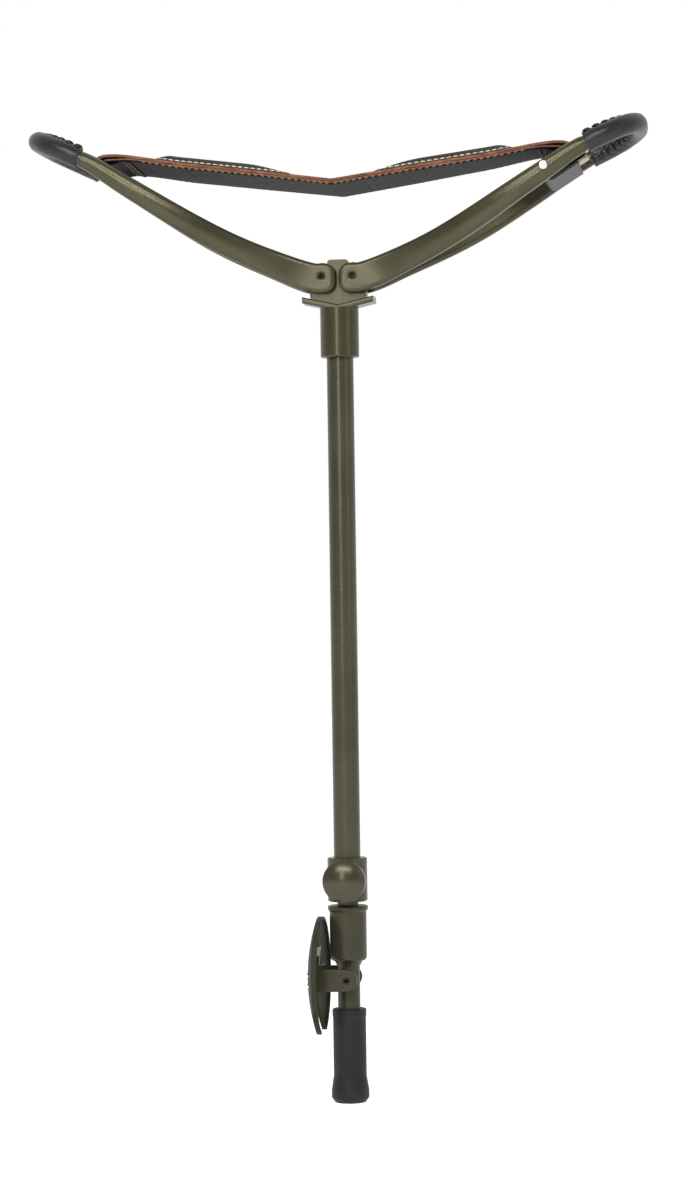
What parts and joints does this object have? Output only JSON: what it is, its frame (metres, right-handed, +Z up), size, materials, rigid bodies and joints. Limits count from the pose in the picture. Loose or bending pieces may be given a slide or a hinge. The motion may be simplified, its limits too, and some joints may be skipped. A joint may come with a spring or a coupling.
{
  "type": "shooting stick",
  "caption": "Telescopic shooting stick with a folding leather sling seat on hinged loop arms, a clamp knob, a swinging mud plate and a rubber ferrule.",
  "frame": {"origin": "centre of the ferrule's sole, where the stick stands on the ground", "axes": "+Z up along the leg, +X to the right arm, -Y to the clamp knob's side"},
  "size_m": [0.5104, 0.111, 0.8044],
  "materials": {
    "olive_paint": "olive satin paint on cast or drawn aluminium",
    "dark_tube": "dark anodised tube",
    "black_rubber": "matt black rubber",
    "bright_steel": "bright plated steel",
    "grey_plate": "grey stippled plate",
    "brass": "pale brass",
    "nylon": "black nylon",
    "grip_leather": "black grained leather",
    "lace": "black round lace",
    "sling_leather": "dark hide with bare brown edges",
    "pad_leather": "dark stitched leather"
  },
  "bodies": {
    "lower": {"foot_casting": "olive_paint", "spike": "bright_steel", "foot_pin": "bright_steel", "inner_tube": "dark_tube", "glide_bush": "nylon", "plate_pin": "bright_steel"},
    "ferrule": {"ferrule": "black_rubber", "ferrule_disc": "bright_steel"},
    "ground_plate": {"mud_plate": "olive_paint", "plate_bracket": "olive_paint", "plate_rivets": "bright_steel"},
    "upper": {"outer_tube": "olive_paint", "collar": "olive_paint", "tube_bush": "nylon", "collar_insert": "brass", "hub": "olive_paint", "hub_pin": "bright_steel", "left_hinge_pin": "bright_steel", "right_hinge_pin": "bright_steel", "hinge_washers": "nylon", "sling": "sling_leather", "left_pad": "pad_leather", "right_pad": "pad_leather"},
    "clamp_knob": {"knob": "olive_paint", "knob_screw": "bright_steel", "screw_tip": "nylon"},
    "left_frame": {"left_arm": "olive_paint", "left_rod": "bright_steel", "left_grip": "grip_leather", "left_lacing": "lace"},
    "right_frame": {"right_arm": "olive_paint", "right_rod": "bright_steel", "right_grip": "grip_leather", "right_lacing": "lace", "latch_pin": "bright_steel"},
    "latch": {"latch_plate": "grey_plate", "latch_clip": "brass"}
  },
  "joints": [
    {"name": "height_slide", "type": "slide", "parent": "lower", "child": "upper", "axis": [0, 0, 1], "range_m": [0, 0.15]},
    {"name": "left_fold", "type": "hinge", "parent": "upper", "child": "left_frame", "pos_m": [-0.0128, 0, 0.6793], "axis": [0, 1, 0], "range_deg": [0, 58], "deforming": ["sling", "left_pad", "right_pad"]},
    {"name": "right_fold", "type": "hinge", "parent": "upper", "child": "right_frame", "pos_m": [0.0128, 0, 0.6793], "axis": [0, -1, 0], "range_deg": [0, 58]},
    {"name": "knob_turn", "type": "hinge", "parent": "upper", "child": "clamp_knob", "pos_m": [0, -0.025, 0.1835], "axis": [0, -1, 0], "range_deg": [0, 360]},
    {"name": "plate_swing", "type": "hinge", "parent": "lower", "child": "ground_plate", "pos_m": [0, 0, 0.1015], "axis": [0, -1, 0], "range_deg": [0, 90]},
    {"name": "ferrule_pull", "type": "slide", "parent": "lower", "child": "ferrule", "axis": [0, 0, -1], "range_m": [0, 0.07]},
    {"name": "latch_swing", "type": "hinge", "parent": "right_frame", "child": "latch", "pos_m": [0.1728, 0, 0.7598], "axis": [0, 1, 0], "range_deg": [0, 80]}
  ],
  "couplings": [
    {"joint": "right_fold", "follows": "left_fold", "ratio": 1}
  ]
}
